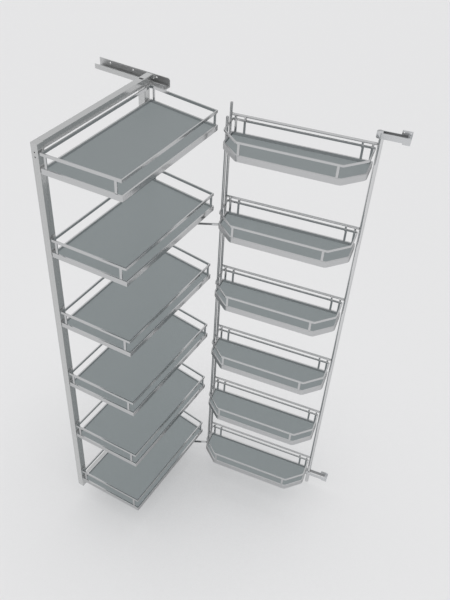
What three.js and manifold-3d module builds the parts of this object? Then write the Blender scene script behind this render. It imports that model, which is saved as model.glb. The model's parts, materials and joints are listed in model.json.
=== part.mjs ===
import * as THREE from "three";
import { mergeVertices } from "three/addons/utils/BufferGeometryUtils.js";
import Module from "manifold-3d";

const wasm = await Module();
wasm.setup();

// ---------- driving dimensions, millimetres ----------
const SHELVES = 6;
const PITCH = 290.9;               // from one shelf to the next
const CLEAR = 0.3;                 // gap between separate pieces that meet

// inner pull-out: X is the pull-out direction, Y runs across the cabinet, Z up
const TRAY_D = 262.3;              // tray size along X
const TRAY_W = 500;                // tray size along Y, at the frame
const TAPER = 21.3;                // each side edge runs in by this at the outer end
const TRAY_Z = 125;                // underside of the lowest tray's lip
const LIP_T = 5;
const LIP_H = 18.3;
const PANEL_T = 8;
const PANEL_UP = 2;                // panel underside above the lip's lower edge
const RAIL_T = 4;                  // gallery strip thickness
const RAIL_H = 9.2;
const RAIL_IN = 1.5;               // strip's outer face inside the lip's
const RAIL_TOP = 64.4;             // gallery top above the lip's lower edge
const STEM_R = 2.75;
const STEM_X = [16.5, TRAY_D - 13];  // gallery stems along X

// pull-out frame
const POST_X = 25;
const POST_Y = 26;
const POST_GAP = 3.3;              // from the posts to the trays
const POST_X1 = -POST_GAP;
const POST_X0 = POST_X1 - POST_X;
const REAR_Y1 = TRAY_W;             // rear post flush with the trays' far edge
const REAR_Y0 = REAR_Y1 - POST_Y;
const TOP_TRAY = (SHELVES - 1) * PITCH;
const FRAME_DROP = 43;             // frame past the lowest and the highest tray
const FRAME_RISE = 90;
const FRAME_Z0 = TRAY_Z - FRAME_DROP;
const FRAME_Z1 = TRAY_Z + TOP_TRAY + FRAME_RISE;
const BAR_X = 23;
const BAR_H = 24.5;
const PAD_H = 12;                  // pads from the posts to the lips
const POST_SCREW_X = POST_X0 + 12;
const POST_SCREW_Z = [FRAME_Z1 - 43, FRAME_Z1 - 28];
const POST_SCREW_R = 2.3;

// fixed side rails
const TRACK_X0 = -231;
const TRACK_X1 = 48;
const TRACK_GAP = 10;              // from the trays to the rail
const TRACK_W = 28;
const TRACK_Y0 = TRAY_W + TRACK_GAP;
const TRACK_Y1 = TRACK_Y0 + TRACK_W; // face against the cabinet side
const TRACK_T = 2;
const TRACK_Z0 = FRAME_Z1 - 36;
const TRACK_LIP = 16.3;
const TRACK_WALL = 29.3;
const TRACK_CUT = [7, 9];          // floor corner at the open end
const TRACK_CR = 9;                // rounded corner of the tall wall
const TRACK_HOLES = [TRACK_X0 + 44, (TRACK_X0 + TRACK_X1 - 6) / 2, TRACK_X1 - 50];
const TRACK_HOLE_UP = 20.8;
const TRACK_HOLE_R = 2.75;
const RIDGE_W = 8;
const RIDGE_H = 6;

// carriage
const CAR_X0 = POST_X0 + 2.5;
const CAR_X1 = POST_X1 - 0.7;
const CAR_OVER = 9;                // block past the rail's lip
const CAR_RUN = 4;
const CAR_GAP = 1;                 // carriage to rail

// swinging door rack, drawn square to its own back line, then turned
const RACK_TURN = (10.98 * Math.PI) / 180;
const RACK_O = [TRAY_D + 33.4, TRAY_W + 3.1]; // back left corner of the trays
const RACK_L = 420;
const RACK_D = 129;
const CUT_X = 59;                  // chamfer along the length
const CUT_Y = 55;                  // chamfer along the depth
const LIP_ROUND = 17;              // the lips' corners at the chamfers
const BACK_ROUND = 6;
const RTRAY_Z = TRAY_Z - 20.9;
const RLIP_H = 20.3;
const RPANEL_UP = 3;
const RRAIL_TOP = 61.6;
const RSTEM_BACK = [9, 39, RACK_L - 38, RACK_L - 9.5];
const RSTEM_FRONT = [CUT_X + 10, RACK_L - CUT_X - 12];
const BACK_Y = 10;                 // rods and crossbars behind the trays
const PIVOT_U = -8.1;
const PIVOT_R = 4;
const ROD_DROP = 92;               // rods past the lowest and the highest tray
const ROD_RISE = 106.4;
const ROD_Z0 = RTRAY_Z - ROD_DROP;
const PIVOT_Z1 = RTRAY_Z + TOP_TRAY + ROD_RISE;
const END_U = RACK_L + 7.5;
const END_R = 6.5;
const END_Z1 = PIVOT_Z1 - 8;
const CROSS_R = 4;
const CROSS_Z = 69.6;
const CLIP_W = 5;
const LROD_R = 4;
const LROD_U = -CLEAR - LROD_R;     // against the outside of the trays' pivot ends
const LROD_V = 32;
const LROD_Z0 = RTRAY_Z - 30;
const LROD_Z1 = PIVOT_Z1 - 25;

// link arms
const LINK_LEN = 165;
const LINK_ANGLE = (211 * Math.PI) / 180;
const LINK_RATIO = -1;             // link turn per rack turn
const SLIDE_PER_RAD = 74;          // pull-out travel per radian of rack turn
const TURN_MIN = (-101 * Math.PI) / 180;
const TURN_MAX = (7 * Math.PI) / 180;
const LINK_T = 3;
const LINK_DROP = 18.2;            // link underside below the rack tray's lip
const LINK_W = 12;
const LINK_BORE = LROD_R + CLEAR;
const PIN_R = 3;
const BOSS_R = 6;
const CAM_T = 4;
const CAM_EDGE = [12, 14];         // plate beyond the slot's centre line
const CAM_WALL = 7;
const CAM_DROP = 5;                // plate top below the tray panel
const SLOT_R = PIN_R + 0.6;

// door guides
const GUIDE_W = 19;
const GUIDE_H = 17;
const GUIDE_REACH = 78;
const GUIDE_END = END_U + GUIDE_REACH;
const GUIDE_SLOT_R = END_R + 0.6;
const GUIDE_SLOT_END = GUIDE_END - 13;
const GUIDE_FOOT = 56;             // lower guide above the upright's foot
const GUIDE_HEAD = 15;             // upper guide below the pivot rod's top
const GUIDE_Z = [ROD_Z0 + GUIDE_FOOT, PIVOT_Z1 - GUIDE_HEAD];
const TAB_U0 = GUIDE_END - 28.5;
const TAB_UP = 13;
const TAB_T = GUIDE_W / 2 - GUIDE_SLOT_R; // flush with the slot's wall
const TAB_HOLE_UP = 7;
const TAB_HOLES = [TAB_U0 + 5.5, GUIDE_END - 5.5];
const TAB_HOLE_R = 2;

// the origin is on the top rail's face against the cabinet side
const ORIGIN = [(TRACK_X0 + TRACK_X1) / 2, TRACK_Y1, TRACK_Z0 + 9];

// ---------- small helpers ----------
const group = new THREE.Group();
group.name = "pull_out_larder_unit";

function prep(geometry) {
  const g = geometry.clone();
  g.deleteAttribute("normal");
  g.deleteAttribute("uv");
  return mergeVertices(g, 1e-4);
}
function solid(geometry) {
  const g = prep(geometry);
  return new wasm.Manifold(
    new wasm.Mesh({
      numProp: 3,
      vertProperties: new Float32Array(g.attributes.position.array),
      triVerts: new Uint32Array(g.index.array),
    })
  );
}
function box(x0, x1, y0, y1, z0, z1) {
  const g = new THREE.BoxGeometry(x1 - x0, y1 - y0, z1 - z0);
  g.translate((x0 + x1) / 2, (y0 + y1) / 2, (z0 + z1) / 2);
  return solid(g);
}
function post(x, y, r, z0, z1, sides = 16) {
  const g = new THREE.CylinderGeometry(r, r, z1 - z0, sides);
  g.rotateX(Math.PI / 2);
  g.translate(x, y, (z0 + z1) / 2);
  return solid(g);
}
function rodX(y, z, r, x0, x1, sides = 16) {
  const g = new THREE.CylinderGeometry(r, r, x1 - x0, sides);
  g.rotateZ(Math.PI / 2);
  g.translate((x0 + x1) / 2, y, z);
  return solid(g);
}
function rodY(x, z, r, y0, y1, sides = 16) {
  const g = new THREE.CylinderGeometry(r, r, y1 - y0, sides);
  g.translate(x, (y0 + y1) / 2, z);
  return solid(g);
}
function prism(points, z0, z1) {
  const s = new THREE.Shape(points.map((p) => new THREE.Vector2(p[0], p[1])));
  const g = new THREE.ExtrudeGeometry(s, { depth: z1 - z0, bevelEnabled: false });
  g.translate(0, 0, z0);
  return solid(g);
}
function joined(list) {
  return list.reduce((a, b) => a.add(b));
}
function cut(a, list) {
  return list.reduce((x, y) => x.subtract(y), a);
}
// closed outline moved inwards by d, corners mitred; points run anticlockwise
function inset(points, d) {
  const n = points.length;
  return points.map((p, i) => {
    const a = points[(i + n - 1) % n];
    const b = points[(i + 1) % n];
    const e1 = [p[0] - a[0], p[1] - a[1]];
    const e2 = [b[0] - p[0], b[1] - p[1]];
    const l1 = Math.hypot(...e1);
    const l2 = Math.hypot(...e2);
    const n1 = [-e1[1] / l1, e1[0] / l1];
    const n2 = [-e2[1] / l2, e2[0] / l2];
    const k = d / (1 + n1[0] * n2[0] + n1[1] * n2[1]);
    return [p[0] + (n1[0] + n2[0]) * k, p[1] + (n1[1] + n2[1]) * k];
  });
}
// outline with each corner i replaced by an arc of radius radii[i]
function rounded(points, radii, steps = 4) {
  const n = points.length;
  const out = [];
  points.forEach((p, i) => {
    if (!radii[i]) {
      out.push(p);
      return;
    }
    const a = points[(i + n - 1) % n];
    const b = points[(i + 1) % n];
    const la = Math.hypot(a[0] - p[0], a[1] - p[1]);
    const lb = Math.hypot(b[0] - p[0], b[1] - p[1]);
    const da = [(a[0] - p[0]) / la, (a[1] - p[1]) / la];
    const db = [(b[0] - p[0]) / lb, (b[1] - p[1]) / lb];
    const half = Math.acos(da[0] * db[0] + da[1] * db[1]) / 2;
    const m = [da[0] + db[0], da[1] + db[1]];
    const lm = Math.hypot(...m);
    const far = radii[i] / Math.sin(half);
    const c = [p[0] + (m[0] / lm) * far, p[1] + (m[1] / lm) * far];
    const run = radii[i] / Math.tan(half);
    const s = [p[0] + da[0] * run - c[0], p[1] + da[1] * run - c[1]];
    const sweep = Math.PI - 2 * half;
    for (let j = 0; j <= steps; j++) {
      const w = (sweep * j) / steps;
      out.push([
        c[0] + s[0] * Math.cos(w) - s[1] * Math.sin(w),
        c[1] + s[0] * Math.sin(w) + s[1] * Math.cos(w),
      ]);
    }
  });
  return out;
}
function ringOf(outline, t, z0, z1) {
  return prism(outline, z0, z1).subtract(prism(inset(outline, t), z0 - 1, z1 + 1));
}
function add(name, shape, look, turned = false) {
  const m = shape.getMesh();
  const g = new THREE.BufferGeometry();
  const n = m.numProp;
  const v = new Float32Array((m.vertProperties.length / n) * 3);
  for (let i = 0; i < v.length / 3; i++)
    for (let k = 0; k < 3; k++) v[3 * i + k] = m.vertProperties[n * i + k];
  g.setAttribute("position", new THREE.BufferAttribute(v, 3));
  g.setIndex(new THREE.BufferAttribute(new Uint32Array(m.triVerts), 1));
  if (turned) {
    g.rotateZ(RACK_TURN);
    g.translate(RACK_O[0], RACK_O[1], 0);
  }
  g.translate(-ORIGIN[0], -ORIGIN[1], -ORIGIN[2]);
  g.computeVertexNormals();
  const mesh = new THREE.Mesh(
    g,
    new THREE.MeshStandardMaterial({ color: look[0], metalness: look[1], roughness: look[2] })
  );
  mesh.name = name;
  group.add(mesh);
}
const PANEL = [0x83898a, 0.0, 0.55];
const CHROME = [0xd2d4d6, 1.0, 0.18];
const SILVER = [0xb9bbbc, 0.6, 0.4];
const STEEL = [0x9a9c9e, 0.9, 0.35];
const DARK = [0x55585a, 0.7, 0.45];

// ---------- inner pull-out trays ----------
const trayOutline = [[0, 0], [TRAY_D, TAPER], [TRAY_D, TRAY_W - TAPER], [0, TRAY_W]];
const stripOutline = inset(trayOutline, RAIL_IN);
const edgeAt = (x) => (TAPER * x) / TRAY_D + RAIL_IN + RAIL_T / 2; // strip's middle
for (let k = 1; k <= SHELVES; k++) {
  const z = TRAY_Z + (SHELVES - k) * PITCH;
  add(`inner_tray_${k}_lip`, ringOf(trayOutline, LIP_T, z, z + LIP_H), CHROME);
  add(
    `inner_tray_${k}_panel`,
    prism(inset(trayOutline, LIP_T), z + PANEL_UP, z + PANEL_UP + PANEL_T),
    PANEL
  );
  const stems = [];
  for (const x of STEM_X)
    for (const y of [edgeAt(x), TRAY_W - edgeAt(x)])
      stems.push(post(x, y, STEM_R, z + LIP_H + CLEAR, z + RAIL_TOP - 1));
  add(
    `inner_tray_${k}_gallery`,
    joined([ringOf(stripOutline, RAIL_T, z + RAIL_TOP - RAIL_H, z + RAIL_TOP), ...stems]),
    CHROME
  );
}

// ---------- pull-out frame ----------
function padded(y0, y1) {
  const pads = [];
  for (let k = 0; k < SHELVES; k++) {
    const z = TRAY_Z + k * PITCH + (LIP_H - PAD_H) / 2;
    pads.push(box(POST_X1 - 1, -CLEAR, y0 + 5, y1 - 5, z, z + PAD_H));
  }
  return joined([box(POST_X0, POST_X1, y0, y1, FRAME_Z0, FRAME_Z1), ...pads]);
}
const front = cut(
  padded(0, POST_Y),
  POST_SCREW_Z.map((z) => rodY(POST_SCREW_X, z, POST_SCREW_R, -1, 12, 14))
);
add("frame_front_post", front, SILVER);
add("frame_rear_post", padded(REAR_Y0, REAR_Y1), SILVER);
const BAR_Y0 = POST_Y + CLEAR;
const BAR_Y1 = REAR_Y0 - CLEAR;
add("frame_top_bar", box(POST_X0, POST_X0 + BAR_X, BAR_Y0, BAR_Y1, FRAME_Z1 - BAR_H, FRAME_Z1), SILVER);
add("frame_bottom_bar", box(POST_X0, POST_X0 + BAR_X, BAR_Y0, BAR_Y1, FRAME_Z0, FRAME_Z0 + BAR_H), SILVER);

// ---------- fixed side rails and carriages, bottom ones mirrored ----------
const MIRROR = FRAME_Z0 + FRAME_Z1;
const flip = (m) => m.mirror([0, 0, 1]).translate([0, 0, MIRROR]);
const floorPts = [
  [TRACK_X0, TRACK_Y0],
  [TRACK_X1 - TRACK_CUT[0], TRACK_Y0],
  [TRACK_X1, TRACK_Y0 + TRACK_CUT[1]],
  [TRACK_X1, TRACK_Y1],
  [TRACK_X0, TRACK_Y1],
];
let track = joined([
  prism(floorPts, TRACK_Z0, TRACK_Z0 + TRACK_T),
  box(TRACK_X0, TRACK_X1, TRACK_Y1 - TRACK_T, TRACK_Y1, TRACK_Z0, TRACK_Z0 + TRACK_WALL),
  box(TRACK_X0, TRACK_X1 - TRACK_CUT[0], TRACK_Y0, TRACK_Y0 + TRACK_T, TRACK_Z0, TRACK_Z0 + TRACK_LIP),
  box(TRACK_X0 + 4, TRACK_X1 - 9, TRACK_Y0 + 10, TRACK_Y0 + 10 + RIDGE_W, TRACK_Z0, TRACK_Z0 + TRACK_T + RIDGE_H),
]);
// rounded upper end corner of the tall wall
const CR = TRACK_CR;
track = track.subtract(
  box(TRACK_X1 - CR, TRACK_X1 + 1, TRACK_Y1 - 4, TRACK_Y1 + 1, TRACK_Z0 + TRACK_WALL - CR, TRACK_Z0 + TRACK_WALL + 1).subtract(
    rodY(TRACK_X1 - CR, TRACK_Z0 + TRACK_WALL - CR, CR, TRACK_Y1 - 6, TRACK_Y1 + 3, 32)
  )
);
track = cut(
  track,
  TRACK_HOLES.map((x) => rodY(x, TRACK_Z0 + TRACK_HOLE_UP, TRACK_HOLE_R, TRACK_Y1 - 4, TRACK_Y1 + 1, 18))
);
add("top_rail", track, STEEL);
add("bottom_rail", flip(track), STEEL);

const liftZ = TRACK_Z0 + TRACK_LIP + CAR_GAP;
const carriage = joined([
  box(CAR_X0, CAR_X1, REAR_Y1 + CLEAR, TRACK_Y0 + CAR_OVER, liftZ, FRAME_Z1),
  box(CAR_X0, CAR_X1, TRACK_Y0 + TRACK_T + CAR_GAP, TRACK_Y1 - TRACK_T - CAR_GAP, TRACK_Z0 + TRACK_T + RIDGE_H + 0.6, liftZ + CAR_RUN),
]);
add("top_carriage", carriage, STEEL);
add("bottom_carriage", flip(carriage), STEEL);

// ---------- swinging door rack ----------
const hex = [
  [0, 0],
  [0, -(RACK_D - CUT_Y)],
  [CUT_X, -RACK_D],
  [RACK_L - CUT_X, -RACK_D],
  [RACK_L, -(RACK_D - CUT_Y)],
  [RACK_L, 0],
];
const lipHex = rounded(hex, [BACK_ROUND, LIP_ROUND, LIP_ROUND, LIP_ROUND, LIP_ROUND, BACK_ROUND]);
for (let k = 1; k <= SHELVES; k++) {
  const z = RTRAY_Z + (SHELVES - k) * PITCH;
  add(`door_tray_${k}_lip`, ringOf(lipHex, LIP_T, z, z + RLIP_H), CHROME, true);
  add(
    `door_tray_${k}_panel`,
    prism(inset(lipHex, LIP_T + CLEAR), z + RPANEL_UP, z + RPANEL_UP + PANEL_T),
    PANEL,
    true
  );
  const stems = [];
  for (const u of RSTEM_BACK) stems.push(post(u, -STEM_R, STEM_R, z + RLIP_H + CLEAR, z + RRAIL_TOP - 1));
  for (const u of RSTEM_FRONT)
    stems.push(post(u, -RACK_D + STEM_R, STEM_R, z + RLIP_H + CLEAR, z + RRAIL_TOP - 1));
  add(
    `door_tray_${k}_gallery`,
    joined([ringOf(hex, RAIL_T, z + RRAIL_TOP - RAIL_H, z + RRAIL_TOP), ...stems]),
    CHROME,
    true
  );
  const clips = RSTEM_BACK.map((u) =>
    box(u - CLIP_W / 2, u + CLIP_W / 2, CLEAR, BACK_Y, z + RRAIL_TOP - RAIL_H + 1, z + CROSS_Z + 2)
  );
  add(
    `door_crossbar_${k}`,
    joined([
      rodX(BACK_Y, z + CROSS_Z, CROSS_R, PIVOT_U + PIVOT_R + CLEAR, END_U - END_R - CLEAR),
      ...clips,
    ]),
    CHROME,
    true
  );
}
add("door_pivot_rod", post(PIVOT_U, BACK_Y, PIVOT_R, ROD_Z0, PIVOT_Z1, 20), CHROME, true);
add("door_link_rod", post(LROD_U, -LROD_V, LROD_R, LROD_Z0, LROD_Z1, 20), CHROME, true);
add("door_end_upright", post(END_U, BACK_Y, END_R, ROD_Z0, END_Z1, 24), CHROME, true);

// ---------- link arms and their slotted plates under inner trays 2 and 6 ----------
const rc = Math.cos(RACK_TURN);
const rs = Math.sin(RACK_TURN);
const toWorld = (u, y) => [RACK_O[0] + u * rc - y * rs, RACK_O[1] + u * rs + y * rc];
const P = toWorld(PIVOT_U, BACK_Y);
const A0 = toWorld(LROD_U, -LROD_V);
function pinAt(turn) {
  const c = Math.cos(turn);
  const s = Math.sin(turn);
  const dx = A0[0] - P[0];
  const dy = A0[1] - P[1];
  const a = [P[0] + dx * c - dy * s, P[1] + dx * s + dy * c];
  const w = LINK_ANGLE + turn * (1 + LINK_RATIO);
  return [a[0] + LINK_LEN * Math.cos(w) - SLIDE_PER_RAD * turn, a[1] + LINK_LEN * Math.sin(w)];
}
const path = [];
const STEPS = 30;
for (let i = 0; i <= STEPS; i++)
  path.push(pinAt(TURN_MIN - 0.01 + ((TURN_MAX - TURN_MIN + 0.02) * i) / STEPS));
const dirAt = (i) => {
  const a = path[Math.max(0, i - 1)];
  const b = path[Math.min(path.length - 1, i + 1)];
  const l = Math.hypot(b[0] - a[0], b[1] - a[1]);
  return [(b[0] - a[0]) / l, (b[1] - a[1]) / l];
};
const slot = [];
path.forEach((p, i) => {
  const d = dirAt(i);
  slot.push([p[0] + d[1] * SLOT_R, p[1] - d[0] * SLOT_R]);
});
const capOf = (p, d, from) => {
  for (let j = 1; j < 8; j++) {
    const a = from + (Math.PI * j) / 8;
    slot.push([
      p[0] + SLOT_R * (d[1] * Math.cos(a) + d[0] * Math.sin(a)),
      p[1] + SLOT_R * (-d[0] * Math.cos(a) + d[1] * Math.sin(a)),
    ]);
  }
};
capOf(path[path.length - 1], dirAt(path.length - 1), 0);
for (let i = path.length - 1; i >= 0; i--) {
  const d = dirAt(i);
  slot.push([path[i][0] - d[1] * SLOT_R, path[i][1] + d[0] * SLOT_R]);
}
capOf(path[0], dirAt(0), Math.PI);
const xs = path.map((p) => p[0]);
const ys = path.map((p) => p[1]);
const px0 = Math.min(...xs) - CAM_EDGE[0];
const px1 = Math.min(Math.max(...xs) + CAM_EDGE[0], TRAY_D - LIP_T - 1);
const py0 = Math.min(...ys) - CAM_EDGE[1];
const py1 = Math.max(...ys) + CAM_EDGE[1];
const B0 = pinAt(0);
const along = [Math.cos(LINK_ANGLE), Math.sin(LINK_ANGLE)];
[
  ["upper", 2],
  ["lower", 6],
].forEach(([side, k]) => {
  const zr = RTRAY_Z + (SHELVES - k) * PITCH - LINK_DROP;
  const zp = TRAY_Z + (SHELVES - k) * PITCH + PANEL_UP;
  const hx = (-along[1] * LINK_W) / 2;
  const hy = (along[0] * LINK_W) / 2;
  let arm = joined([
    prism(
      [
        [A0[0] + hx, A0[1] + hy],
        [B0[0] + hx, B0[1] + hy],
        [B0[0] - hx, B0[1] - hy],
        [A0[0] - hx, A0[1] - hy],
      ],
      zr,
      zr + LINK_T
    ),
    post(A0[0], A0[1], LINK_W / 2 + 2, zr, zr + LINK_T, 28),
    post(B0[0], B0[1], LINK_W / 2, zr, zr + LINK_T, 28),
    post(B0[0], B0[1], BOSS_R, zr + LINK_T - 1, zp - CAM_DROP - CAM_T - 1, 20),
    post(B0[0], B0[1], PIN_R, zr + LINK_T - 1, zp - CAM_DROP + 1, 16),
  ]);
  arm = arm.subtract(post(A0[0], A0[1], LINK_BORE, zr - 1, zr + LINK_T + 1, 24));
  add(`link_arm_${side}`, arm, DARK);
  const z1 = zp - CAM_DROP;
  const plate = joined([
    box(px0, px1, py0, py1, z1 - CAM_T, z1),
    box(px0, px0 + CAM_WALL, py0, py1, z1 - 1, zp),
    box(px0, px1, py0, py0 + CAM_WALL, z1 - 1, zp),
    box(px0, px1, py1 - CAM_WALL, py1, z1 - 1, zp),
  ]).subtract(prism(slot, z1 - CAM_T - 1, zp + 1));
  add(`link_plate_${side}`, plate, STEEL);
});

// ---------- door guides on the rack's end upright ----------
[
  ["lower", GUIDE_Z[0]],
  ["upper", GUIDE_Z[1]],
].forEach(([side, z]) => {
  const h = GUIDE_W / 2;
  let guide = joined([
    box(END_U, GUIDE_END, BACK_Y - h, BACK_Y + h, z, z + GUIDE_H),
    post(END_U, BACK_Y, h, z, z + GUIDE_H, 32),
  ]);
  guide = cut(guide, [
    box(END_U, GUIDE_SLOT_END, BACK_Y - GUIDE_SLOT_R, BACK_Y + GUIDE_SLOT_R, z - 1, z + GUIDE_H + 1),
    post(END_U, BACK_Y, GUIDE_SLOT_R, z - 1, z + GUIDE_H + 1, 32),
    post(GUIDE_SLOT_END, BACK_Y, GUIDE_SLOT_R, z - 1, z + GUIDE_H + 1, 32),
  ]);
  guide = joined([
    guide,
    box(TAB_U0, GUIDE_END, BACK_Y + h - TAB_T, BACK_Y + h, z + GUIDE_H - 2, z + GUIDE_H + TAB_UP),
    box(GUIDE_SLOT_END - 8, GUIDE_END, BACK_Y - h, BACK_Y - GUIDE_SLOT_R, z - 4, z + 2),
  ]);
  guide = cut(
    guide,
    TAB_HOLES.map((u) => rodY(u, z + GUIDE_H + TAB_HOLE_UP, TAB_HOLE_R, BACK_Y, BACK_Y + h + 1, 14))
  );
  add(`door_guide_${side}`, guide, STEEL, true);
});

export default group;
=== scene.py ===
import json
import math

import bmesh
import bpy
from mathutils import Matrix, Vector


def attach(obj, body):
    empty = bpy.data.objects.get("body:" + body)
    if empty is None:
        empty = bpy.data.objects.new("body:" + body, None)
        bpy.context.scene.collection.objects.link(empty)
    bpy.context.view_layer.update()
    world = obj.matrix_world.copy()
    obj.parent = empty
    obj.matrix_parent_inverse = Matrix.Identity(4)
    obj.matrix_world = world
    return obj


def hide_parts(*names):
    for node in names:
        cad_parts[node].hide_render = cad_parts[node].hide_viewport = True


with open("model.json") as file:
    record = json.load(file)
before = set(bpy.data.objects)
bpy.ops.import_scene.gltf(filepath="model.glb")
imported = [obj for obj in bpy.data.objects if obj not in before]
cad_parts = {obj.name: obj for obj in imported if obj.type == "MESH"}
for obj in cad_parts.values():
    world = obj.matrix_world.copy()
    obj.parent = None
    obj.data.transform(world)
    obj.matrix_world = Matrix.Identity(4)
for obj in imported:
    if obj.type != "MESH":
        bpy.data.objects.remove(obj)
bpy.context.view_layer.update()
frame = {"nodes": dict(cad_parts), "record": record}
nodes = frame["nodes"]

# ---------- the object's own numbers, millimetres and degrees ----------
MM = 1000
ORIGIN = (-91.5, 538.0, 1642.5)  # the frame's origin, seen from the trays' corner

# inner trays and their galleries
SHELVES, PITCH = 6, 290.9
TRAY_D, TRAY_W, TAPER = 262.3, 500.0, 21.3
TRAY_Z, LIP_H, PANEL_UP = 125.0, 18.3, 2.0
STRIP_IN, STRIP_T = 1.5, 4.0
STRIP_H, STRIP_TOP = 9.2, 66.6
STEM_T, STEM_FOOT, STEM_HEAD = 3.4, 0.1, 0.6  # foot over the lip, head under the strip's top
# stem places: along X, near or far side, width
INNER_STEMS = (
    (16.5, "near", 8.0),
    (TRAY_D - 21.0, "near", 8.5),
    (16.5, "far", 7.0),
    (TRAY_D - 10.0, "far", 7.0),
)

# frame and carriage
POST_X0, POST_X1 = -28.3, -3.3
REAR_Y0, CARRIAGE_Y1 = 474.0, 518.6
FRAME_TOP = 1669.5
POST_SCREW_DROPS = (43.0, 28.0)
POST_SCREW_X, POST_SCREW_Y = POST_X0 + 12, 1.0
POST_SCREW_R, POST_SCREW_DEPTH = 2.2, 1.2
CARRIAGE_COVER = (
    (POST_X0 + 2.2, REAR_Y0 + 3, FRAME_TOP),
    (POST_X1 - 1.2, CARRIAGE_Y1, FRAME_TOP + 1.6),
)
# painted shade: a thin black sheet in front of the carriage plate stands for the dark slot
# there
CARRIAGE_SLOT_SHADE = (
    (POST_X0 + 6, REAR_Y0 - 3.5, FRAME_TOP - 0.4),
    (POST_X1 - 6, REAR_Y0 + 2.6, FRAME_TOP + 0.15),
)

# door rack: u along its back, v behind it
RACK_AT, RACK_TURN = (295.7, 503.1), math.radians(10.98)
RACK_COS, RACK_SIN = math.cos(RACK_TURN), math.sin(RACK_TURN)
RACK_L, RACK_D, CUT_U, CUT_V = 420.0, 129.0, 59.0, 55.0  # the cuts are the front corners
RACK_TRAY_Z, RACK_LIP_H = 104.1, 20.3
RACK_STRIP_H, RACK_STRIP_TOP = 5.8, 63.2
RACK_STRIP_BACK, RACK_STRIP_LEFT = 2, 3  # the strip's back run and left chamfer, outwards
RACK_ROUND = (5, 14, 10, 10, 14, 5)
BACK_STEMS, BACK_STEM_W = (12.5, 40, RACK_L - 35, RACK_L - 9.5), 6.5
FRONT_STEMS, FRONT_STEM_W = (CUT_U + 7, RACK_L - CUT_U - 13), 7.6

# link arms
LINK_AT = (297.574, 470.867)  # the rod that carries them
LINK_ANGLE = math.radians(211)
LINK_LEN, LINK_T, LINK_W, LINK_DROP = 165.0, 3.0, 8.2, 18.2
LINK_TRAYS = (("upper", 2), ("lower", 6))
RUN_FROM, RUN_SHY = 6.0, 0.1  # the bar's start, and its faces inside the eye's
EYE_R, EYE_WALL = 8.0, 3.7
BOSS_R, PIN_R = 6.0, 3.0
PLATE_DROP, PLATE_T, PLATE_GAP = 5.0, 4.0, 1.0  # the slotted plate under the tray
PIN_SUNK = 0.2
SLEEVE_U, SLEEVE_HALF, SLEEVE_OVER = (9, 30), 4.6, 0.8

# door guides
BACK_V, END_U = 10.0, RACK_L + 7.5
GUIDE_W, GUIDE_H = 19.0, 17.0
SLOT_HALF, SLOT_SLACK, SLOT_REACH = 7.1, 0.3, 67
HEAD_SHIFT, HEAD_OVER = 6.6, 1.0
ROD_DROP, ROD_RISE, GUIDE_FOOT, GUIDE_HEAD = 92.0, 106.4, 56.0, 15.0


def row(x, y, z):
    return Vector(((x - ORIGIN[0]) / MM, (y - ORIGIN[1]) / MM, (z - ORIGIN[2]) / MM))


def rack(u, v, z):
    x = RACK_AT[0] + u * RACK_COS - v * RACK_SIN
    y = RACK_AT[1] + u * RACK_SIN + v * RACK_COS
    return row(x, y, z)


def rack_place(point):
    """A point of the scene as u, v and z of the rack."""
    dx = point.x * MM + ORIGIN[0] - RACK_AT[0]
    dy = point.y * MM + ORIGIN[1] - RACK_AT[1]
    u = dx * RACK_COS + dy * RACK_SIN
    v = -dx * RACK_SIN + dy * RACK_COS
    return u, v, point.z * MM + ORIGIN[2]


def along_link(u, v, z):
    """u along a link arm from the rod, v across it."""
    way = Vector((math.cos(LINK_ANGLE), math.sin(LINK_ANGLE)))
    q = Vector(LINK_AT) + way * u + Vector((-way.y, way.x)) * v
    return row(q.x, q.y, z)


# ---------- materials ----------
def noise(t, scale):
    co = t.nodes.new("ShaderNodeTexCoord")
    n = t.nodes.new("ShaderNodeTexNoise")
    n.inputs["Scale"].default_value = scale
    n.inputs["Detail"].default_value = 3.0
    t.links.new(co.outputs["Object"], n.inputs["Vector"])
    return n.outputs["Fac"]


def ranged(t, src, lo, hi):
    r = t.nodes.new("ShaderNodeMapRange")
    r.inputs["To Min"].default_value = lo
    r.inputs["To Max"].default_value = hi
    t.links.new(src, r.inputs["Value"])
    return r.outputs["Result"]


def bumped(t, shader, src, strength):
    n = t.nodes.new("ShaderNodeBump")
    n.inputs["Strength"].default_value = strength
    n.inputs["Distance"].default_value = 0.001
    t.links.new(src, n.inputs["Height"])
    t.links.new(n.outputs["Normal"], shader.inputs["Normal"])


def surface(name, colour, metallic, lo, hi, scale, bump=0.0, vary=0.0, edge=None):
    """Roughness runs from lo to hi; vary and bump follow the same noise."""
    m = bpy.data.materials.new(name)
    m.use_nodes = True
    t = m.node_tree
    shader = t.nodes["Principled BSDF"]
    shader.inputs["Base Color"].default_value = (*colour, 1)
    shader.inputs["Metallic"].default_value = metallic
    if edge is not None:
        shader.inputs["Specular Tint"].default_value = (edge, edge, edge, 1)
    grain = noise(t, scale)
    t.links.new(ranged(t, grain, lo, hi), shader.inputs["Roughness"])
    if vary:
        mix = t.nodes.new("ShaderNodeMix")
        mix.data_type = "RGBA"
        mix.inputs["A"].default_value = (*[c * (1 - vary) for c in colour], 1)
        mix.inputs["B"].default_value = (*[c * (1 + vary) for c in colour], 1)
        t.links.new(grain, mix.inputs["Factor"])
        t.links.new(mix.outputs["Result"], shader.inputs["Base Color"])
    if bump:
        bumped(t, shader, grain, bump)
    return m


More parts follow.
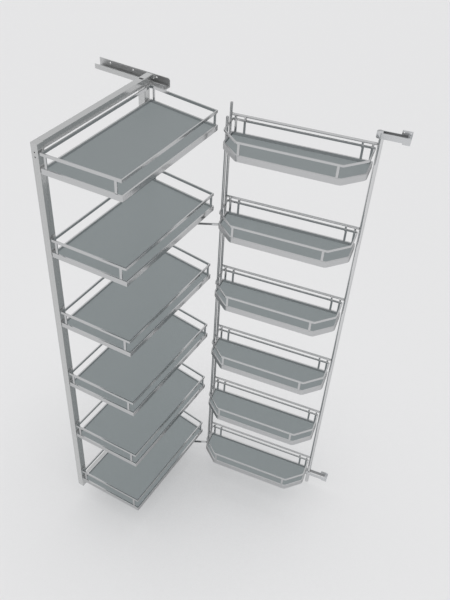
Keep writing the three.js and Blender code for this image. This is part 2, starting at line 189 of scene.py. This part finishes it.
CHROME = surface("chrome plate", (0.62, 0.625, 0.63), 1.0, 0.12, 0.19, 30.0, edge=0.45)
RIM = surface("satin rim", (0.60, 0.605, 0.61), 1.0, 0.27, 0.33, 30.0, edge=0.45)
ROD = surface("chrome rod", (0.56, 0.565, 0.57), 1.0, 0.08, 0.14, 30.0, edge=0.05)
UPRIGHT = surface("chrome upright", (0.74, 0.745, 0.75), 1.0, 0.08, 0.14, 30.0, edge=0.4)
PANEL = surface("grey panel", (0.216, 0.238, 0.243), 0.0, 0.42, 0.58, 180.0, 0.03, 0.03)
FRAME = surface("silver coat", (0.53, 0.535, 0.535), 0.78, 0.14, 0.20, 240.0, vary=0.02)
RAIL = surface("zinc sheet", (0.575, 0.58, 0.58), 0.95, 0.34, 0.42, 90.0)
CARRIAGE = surface("zinc carriage", (0.62, 0.625, 0.625), 1.0, 0.16, 0.26, 120.0, 0.01, 0.03)
LINK = surface("dark link", (0.21, 0.215, 0.22), 0.95, 0.25, 0.38, 120.0, 0.01, 0.05)
GUIDE = surface("guide metal", (0.62, 0.63, 0.64), 0.9, 0.22, 0.36, 100.0, 0.02)
# painted shade: a darker colour for the guide slots' inner walls, standing in for the
# groove's shade
SHADE = surface("guide slot painted shade", (0.32, 0.325, 0.33), 0.9, 0.3, 0.4, 100.0)
# black for the post screws, and painted shade for the carriage slot
BLACK_AND_SHADE = surface("black plastic and painted shade", (0.012, 0.013, 0.014), 0.0, 0.4, 0.55, 90.0)
PALE = surface("pale plastic", (0.36, 0.365, 0.37), 0.0, 0.4, 0.5, 150.0)

SLOTS = {
    "chrome": CHROME,
    "panel": PANEL,
    "frame": FRAME,
    "rail": RAIL,
    "carriage": CARRIAGE,
    "link": LINK,
    "guide": GUIDE,
}
OWN = {"door_pivot_rod": ROD, "door_link_rod": ROD, "door_end_upright": UPRIGHT}
slot_of = {s["node"]: s["material_slot"] for s in frame["record"]["subparts"]}


def material_of(name):
    if name.startswith("door_tray") and name.endswith("_lip"):
        return RIM
    return OWN.get(name, SLOTS[slot_of[name]])


# ---------- softened edges with flat faces ----------
WELD = 0.00001
SHARP = math.radians(35)
STRIP_EDGE, SHEET_EDGE, FRAME_EDGE = 0.35, 0.5, 0.8
SOFT = {"lip": 0.7, "gallery": STRIP_EDGE, "panel": 0.5}


def soften(obj, width):
    w = obj.modifiers.new("weld", "WELD")
    w.merge_threshold = WELD
    b = obj.modifiers.new("edge", "BEVEL")
    b.width = width / MM
    b.segments = 2
    b.limit_method = "ANGLE"
    b.angle_limit = SHARP
    b.use_clamp_overlap = True
    n = obj.modifiers.new("flat", "WEIGHTED_NORMAL")
    n.mode = "FACE_AREA"
    n.weight = 100
    n.keep_sharp = True


def edge_of(name):
    if name.startswith("frame_"):
        return FRAME_EDGE
    kind = name.rsplit("_", 1)[-1]
    if kind in SOFT:
        return SOFT[kind]
    if any(word in name for word in ("rail", "carriage", "guide", "plate")):
        return SHEET_EDGE
    return STRIP_EDGE


for name, obj in nodes.items():
    obj.data.materials.clear()
    obj.data.materials.append(material_of(name))
    for p in obj.data.polygons:
        p.use_smooth = True
    soften(obj, edge_of(name))


# ---------- helpers for added pieces ----------
def mesh_object(name, bm, mat, body, smooth=True):
    me = bpy.data.meshes.new(name)
    bm.normal_update()
    bm.to_mesh(me)
    bm.free()
    o = bpy.data.objects.new(name, me)
    bpy.context.scene.collection.objects.link(o)
    me.materials.append(mat)
    for p in me.polygons:
        p.use_smooth = smooth
    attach(o, body)
    return o


def disc(name, centre, axis, r, depth, mat, body, sides=24, bevel=0.0):
    """A round cap or head: centre of its outer face, axis outwards."""
    out = Vector(axis).normalized()
    bm = bmesh.new()
    bmesh.ops.create_cone(
        bm, cap_ends=True, segments=sides,
        radius1=r / MM, radius2=(r - bevel) / MM, depth=depth / MM,
    )
    turned = out.to_track_quat("Z", "Y").to_matrix().to_4x4()
    bm.transform(Matrix.Translation(centre - out * depth / (2 * MM)) @ turned)
    return mesh_object(name, bm, mat, body)


def brick(name, lo, hi, mat, body, slot, place=row, bevel=0.0):
    bm = bmesh.new()
    corners = [
        place(x, y, z)
        for x in (lo[0], hi[0]) for y in (lo[1], hi[1]) for z in (lo[2], hi[2])
    ]
    v = [bm.verts.new(p) for p in corners]
    for f in (
        (0, 1, 3, 2), (4, 6, 7, 5), (0, 4, 5, 1),
        (2, 3, 7, 6), (0, 2, 6, 4), (1, 5, 7, 3),
    ):
        bm.faces.new([v[i] for i in f])
    bmesh.ops.recalc_face_normals(bm, faces=bm.faces)
    o = mesh_object(name, bm, mat, body, smooth=False)
    if bevel:
        soften(o, bevel)
    return o


def neighbours(points, i):
    n = len(points)
    return (Vector(points[j % n]) for j in (i - 1, i, i + 1))


def offset(points, d):
    """A convex outline moved inwards, whichever way it is wound."""
    area = sum(a[0] * b[1] - b[0] * a[1] for a, b in zip(points, points[1:] + points[:1]))
    sign = 1 if area > 0 else -1
    out = []
    for i in range(len(points)):
        p0, p1, p2 = neighbours(points, i)
        e0, e1 = (p1 - p0).normalized(), (p2 - p1).normalized()
        n0 = Vector((-e0.y, e0.x)) * sign
        n1 = Vector((-e1.y, e1.x)) * sign
        k = d / (1 + n0.dot(n1))
        out.append(tuple(p1 + (n0 + n1) * k))
    return out


def rounded(points, radii, steps=5):
    """The outline with each corner turned into an arc of its own radius."""
    out = []
    for i, rad in enumerate(radii):
        p0, p1, p2 = neighbours(points, i)
        a, b = (p0 - p1).normalized(), (p2 - p1).normalized()
        half = a.angle(b) / 2
        c = p1 + (a + b).normalized() * rad / math.sin(half)
        s = p1 + a * rad / math.tan(half) - c
        sweep = math.copysign(math.pi - 2 * half, -a.cross(b))
        for k in range(steps + 1):
            w = sweep * k / steps
            cos, sin = math.cos(w), math.sin(w)
            out.append((c.x + s.x * cos - s.y * sin, c.y + s.x * sin + s.y * cos))
    return out


def circle(r, sides=28):
    step = 2 * math.pi / sides
    return [(r * math.cos(step * i), r * math.sin(step * i)) for i in range(sides)]


def ring(bm, outline, t, z0, z1, place):
    """A closed strip t thick inside its outline."""
    n = len(outline)
    loops = [
        [bm.verts.new(place(x, y, z)) for x, y in points]
        for points in (outline, offset(outline, t)) for z in (z0, z1)
    ]
    outer_low, outer_high, inner_low, inner_high = loops
    for i in range(n):
        j = (i + 1) % n
        bm.faces.new((outer_low[i], outer_low[j], outer_high[j], outer_high[i]))
        bm.faces.new((inner_low[j], inner_low[i], inner_high[i], inner_high[j]))
        bm.faces.new((outer_high[i], outer_high[j], inner_high[j], inner_high[i]))
        bm.faces.new((outer_low[j], outer_low[i], inner_low[i], inner_low[j]))


def prism(bm, outline, z0, z1, place):
    n = len(outline)
    low = [bm.verts.new(place(x, y, z0)) for x, y in outline]
    high = [bm.verts.new(place(x, y, z1)) for x, y in outline]
    for i in range(n):
        j = (i + 1) % n
        bm.faces.new((low[i], low[j], high[j], high[i]))
    bm.faces.new(high)
    bm.faces.new(low[::-1])


def bar(bm, centre, along, w, t, z0, z1, place):
    """A flat upright bar: w wide along its run, t thick across it."""
    c, a = Vector(centre), Vector(along).normalized()
    b = Vector((-a.y, a.x))
    corners = ((-1, -1), (1, -1), (1, 1), (-1, 1))
    outline = [tuple(c + a * sa * w / 2 + b * sb * t / 2) for sa, sb in corners]
    prism(bm, outline, z0, z1, place)


# ---------- galleries: flat strips on flat stems ----------
def gallery(name, outline, stems, z, lip_h, top, h, place, body, node):
    bm = bmesh.new()
    ring(bm, outline, STRIP_T, z + top - h, z + top, place)
    for centre, along, w in stems:
        foot, head = z + lip_h + STEM_FOOT, z + top - STEM_HEAD
        bar(bm, centre, along, w, STEM_T, foot, head, place)
    bmesh.ops.recalc_face_normals(bm, faces=bm.faces)
    o = mesh_object(name, bm, CHROME, body)
    soften(o, STRIP_EDGE)
    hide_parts(node)


slope = TAPER / TRAY_D
tray_corners = [(0, 0), (TRAY_D, TAPER), (TRAY_D, TRAY_W - TAPER), (0, TRAY_W)]
inner_outline = offset(tray_corners, STRIP_IN)
inner_stems = []
for x, side, w in INNER_STEMS:
    in_from_side = slope * x + STRIP_IN + STRIP_T / 2
    if side == "near":
        inner_stems.append(((x, in_from_side), (1, slope), w))
    else:
        inner_stems.append(((x, TRAY_W - in_from_side), (1, -slope), w))

rack_corners = [
    (0, RACK_STRIP_BACK),
    (0, CUT_V - RACK_D),
    (CUT_U - RACK_STRIP_LEFT, -RACK_D),
    (RACK_L - CUT_U, -RACK_D),
    (RACK_L, CUT_V - RACK_D),
    (RACK_L, RACK_STRIP_BACK),
]
rack_outline = rounded(rack_corners, RACK_ROUND)
rack_stems = [((u, -STRIP_T / 2), (1, 0), BACK_STEM_W) for u in BACK_STEMS]
rack_stems += [((u, STRIP_T / 2 - RACK_D), (1, 0), FRONT_STEM_W) for u in FRONT_STEMS]

for k in range(1, SHELVES + 1):
    up = (SHELVES - k) * PITCH
    gallery(
        f"inner_gallery_{k}", inner_outline, inner_stems, TRAY_Z + up,
        LIP_H, STRIP_TOP, STRIP_H, row, "pull_out", f"inner_tray_{k}_gallery",
    )
    gallery(
        f"door_gallery_{k}", rack_outline, rack_stems, RACK_TRAY_Z + up,
        RACK_LIP_H, RACK_STRIP_TOP, RACK_STRIP_H, rack, "door_rack", f"door_tray_{k}_gallery",
    )

# ---------- post screws, the carriage's top and the painted shade of its slot ---
for i, drop in enumerate(POST_SCREW_DROPS):
    disc(
        f"post_screw_{i + 1}", row(POST_SCREW_X, POST_SCREW_Y, FRAME_TOP - drop), (0, -1, 0),
        POST_SCREW_R, POST_SCREW_DEPTH, BLACK_AND_SHADE, "pull_out", bevel=0.2,
    )
brick("carriage_cover", *CARRIAGE_COVER, CARRIAGE, "pull_out", "carriage", bevel=0.3)
# painted shade: a black sheet flush with the frame's top, in place of the shaded slot before
# the carriage
brick("carriage_slot_shade", *CARRIAGE_SLOT_SHADE, BLACK_AND_SHADE, "pull_out", "frame")

# ---------- link arms with their sleeves ----------
link_low = RACK_TRAY_Z - LINK_DROP
plate_top = TRAY_Z + PANEL_UP - PLATE_DROP - link_low
boss_top = plate_top - PLATE_T - PLATE_GAP
for side, k in LINK_TRAYS:
    z = link_low + (SHELVES - k) * PITCH
    bm = bmesh.new()
    ring(bm, circle(EYE_R), EYE_WALL, z, z + LINK_T, along_link)
    bar(
        bm, ((RUN_FROM + LINK_LEN) / 2, 0), (1, 0), LINK_LEN - RUN_FROM, LINK_W,
        z + RUN_SHY, z + LINK_T - RUN_SHY, along_link,
    )
    boss = [(LINK_LEN + x, y) for x, y in circle(BOSS_R, 20)]
    pin = [(LINK_LEN + x, y) for x, y in circle(PIN_R, 16)]
    prism(bm, boss, z, z + boss_top, along_link)
    prism(bm, pin, z + boss_top - PIN_SUNK, z + plate_top + PLATE_GAP, along_link)
    bmesh.ops.recalc_face_normals(bm, faces=bm.faces)
    arm = mesh_object(f"link_bar_{side}", bm, LINK, f"link_{side}")
    soften(arm, 0.3)
    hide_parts(f"link_arm_{side}")
    brick(
        f"link_sleeve_{side}",
        (SLEEVE_U[0], -SLEEVE_HALF, z - SLEEVE_OVER),
        (SLEEVE_U[1], SLEEVE_HALF, z + LINK_T + SLEEVE_OVER),
        PALE, f"link_{side}", "link", place=along_link, bevel=0.6,
    )

# ---------- door guides: painted shade in the slots, and rounded heads ---
rod_top = RACK_TRAY_Z + (SHELVES - 1) * PITCH + ROD_RISE
rod_foot = RACK_TRAY_Z - ROD_DROP
for side, z in (("upper", rod_top - GUIDE_HEAD), ("lower", rod_foot + GUIDE_FOOT)):
    guide = nodes[f"door_guide_{side}"]
    guide.data.materials.append(SHADE)
    to_scene = guide.matrix_world
    for p in guide.data.polygons:
        u, v, height = rack_place(to_scene @ p.center)
        upright_face = abs((to_scene.to_3x3() @ p.normal).z) < 0.5
        in_slot = abs(v - BACK_V) < SLOT_HALF + SLOT_SLACK and u < END_U + SLOT_REACH
        # the slot's upright inner faces take the darker colour: painted shade of the groove
        if upright_face and in_slot and z < height < z + GUIDE_H:
            p.material_index = 1
    disc(
        f"guide_head_{side}", rack(END_U - HEAD_SHIFT, BACK_V, z + GUIDE_H + HEAD_OVER),
        (0, 0, 1), GUIDE_W / 2, GUIDE_H + HEAD_OVER, GUIDE, f"guide_{side}",
        sides=32, bevel=0.8,
    )

# ---------- camera ----------
CAMERA_AT = Vector((1.31456, -1.67393, 0.98415))
CAMERA_LOOK = Vector((-0.44115, 0.62524, -0.64379))
CAMERA_RIGHT = Vector((0.81706, 0.57655, 0.0))
LENS, SENSOR, SHIFT = 42.568, 36.0, (0.0940, -0.0558)

cam_data = bpy.data.cameras.new("camera")
cam = bpy.data.objects.new("camera", cam_data)
bpy.context.scene.collection.objects.link(cam)
bpy.context.scene.camera = cam
cam_data.lens = LENS
cam_data.sensor_width = SENSOR
cam_data.sensor_fit = "AUTO"
cam_data.shift_x, cam_data.shift_y = SHIFT
cam_data.dof.use_dof = False
fwd = CAMERA_LOOK.normalized()
right = (CAMERA_RIGHT - fwd * CAMERA_RIGHT.dot(fwd)).normalized()
m = Matrix((right, right.cross(fwd), -fwd)).transposed().to_4x4()
m.translation = CAMERA_AT
cam.matrix_world = m

# ---------- floor ----------
FLOOR_Z, FLOOR_HALF = -1.646, 14.0
FLOOR_PALE = (0.80, 0.80, 0.805)
# the colour of the floor's painted shadow under and around the object
FLOOR_SHADOW = (0.20, 0.20, 0.204)

bm = bmesh.new()
bm.faces.new([
    bm.verts.new((x * FLOOR_HALF, y * FLOOR_HALF, FLOOR_Z))
    for x, y in ((-1, -1), (1, -1), (1, 1), (-1, 1))
])
me = bpy.data.meshes.new("floor")
bm.to_mesh(me)
bm.free()
floor = bpy.data.objects.new("floor", me)
bpy.context.scene.collection.objects.link(floor)
floor_material = surface("floor", FLOOR_PALE, 0.0, 0.80, 0.90, 3.0)
ft = floor_material.node_tree
# painted shadow: the floor's colour darkens softly where the object stands close above it
near = ft.nodes.new("ShaderNodeAmbientOcclusion")
near.samples = 16
near.inputs["Distance"].default_value = 0.95
curve = ft.nodes.new("ShaderNodeMath")
curve.operation = "POWER"
curve.inputs[1].default_value = 0.82
shade = ft.nodes.new("ShaderNodeMix")
shade.data_type = "RGBA"
shade.inputs["A"].default_value = (*FLOOR_SHADOW, 1)
shade.inputs["B"].default_value = (*FLOOR_PALE, 1)
ft.links.new(near.outputs["AO"], curve.inputs[0])
ft.links.new(curve.outputs[0], shade.inputs["Factor"])
ft.links.new(shade.outputs["Result"], ft.nodes["Principled BSDF"].inputs["Base Color"])
me.materials.append(floor_material)

# ---------- world ----------
world = bpy.data.worlds.new("studio")
bpy.context.scene.world = world
world.use_nodes = True
wt = world.node_tree
dim = wt.nodes["Background"]
dim.inputs["Color"].default_value = (0.10, 0.10, 0.102, 1)
# metal and the camera see the pale studio that the floor shows
seen = wt.nodes.new("ShaderNodeBackground")
seen.inputs["Color"].default_value = (0.79, 0.79, 0.795, 1)
rays = wt.nodes.new("ShaderNodeLightPath")
clear = rays.outputs["Is Camera Ray"]
for ray in ("Is Glossy Ray", "Is Transmission Ray"):
    either = wt.nodes.new("ShaderNodeMath")
    either.operation = "MAXIMUM"
    wt.links.new(clear, either.inputs[0])
    wt.links.new(rays.outputs[ray], either.inputs[1])
    clear = either.outputs[0]
mixed = wt.nodes.new("ShaderNodeMixShader")
wt.links.new(clear, mixed.inputs[0])
wt.links.new(dim.outputs[0], mixed.inputs[1])
wt.links.new(seen.outputs[0], mixed.inputs[2])
wt.links.new(mixed.outputs[0], wt.nodes["World Output"].inputs["Surface"])


# ---------- light ----------
def sun(name, towards, energy, angle):
    """An even light without shadows or glints of its own."""
    d = bpy.data.lights.new(name, "SUN")
    d.energy = energy
    d.angle = math.radians(angle)
    d.use_shadow = False
    d.specular_factor = 0.0
    o = bpy.data.objects.new(name, d)
    bpy.context.scene.collection.objects.link(o)
    o.rotation_mode = "QUATERNION"
    o.rotation_quaternion = (-Vector(towards)).to_track_quat("-Z", "Y")
    o.visible_glossy = False


sun("key", (0.42, -0.62, 0.72), 4.03, 20.0)
sun("floor_bounce", (0.2, -0.3, -0.93), 1.0, 60.0)

bpy.context.scene.view_settings.view_transform = "Standard"
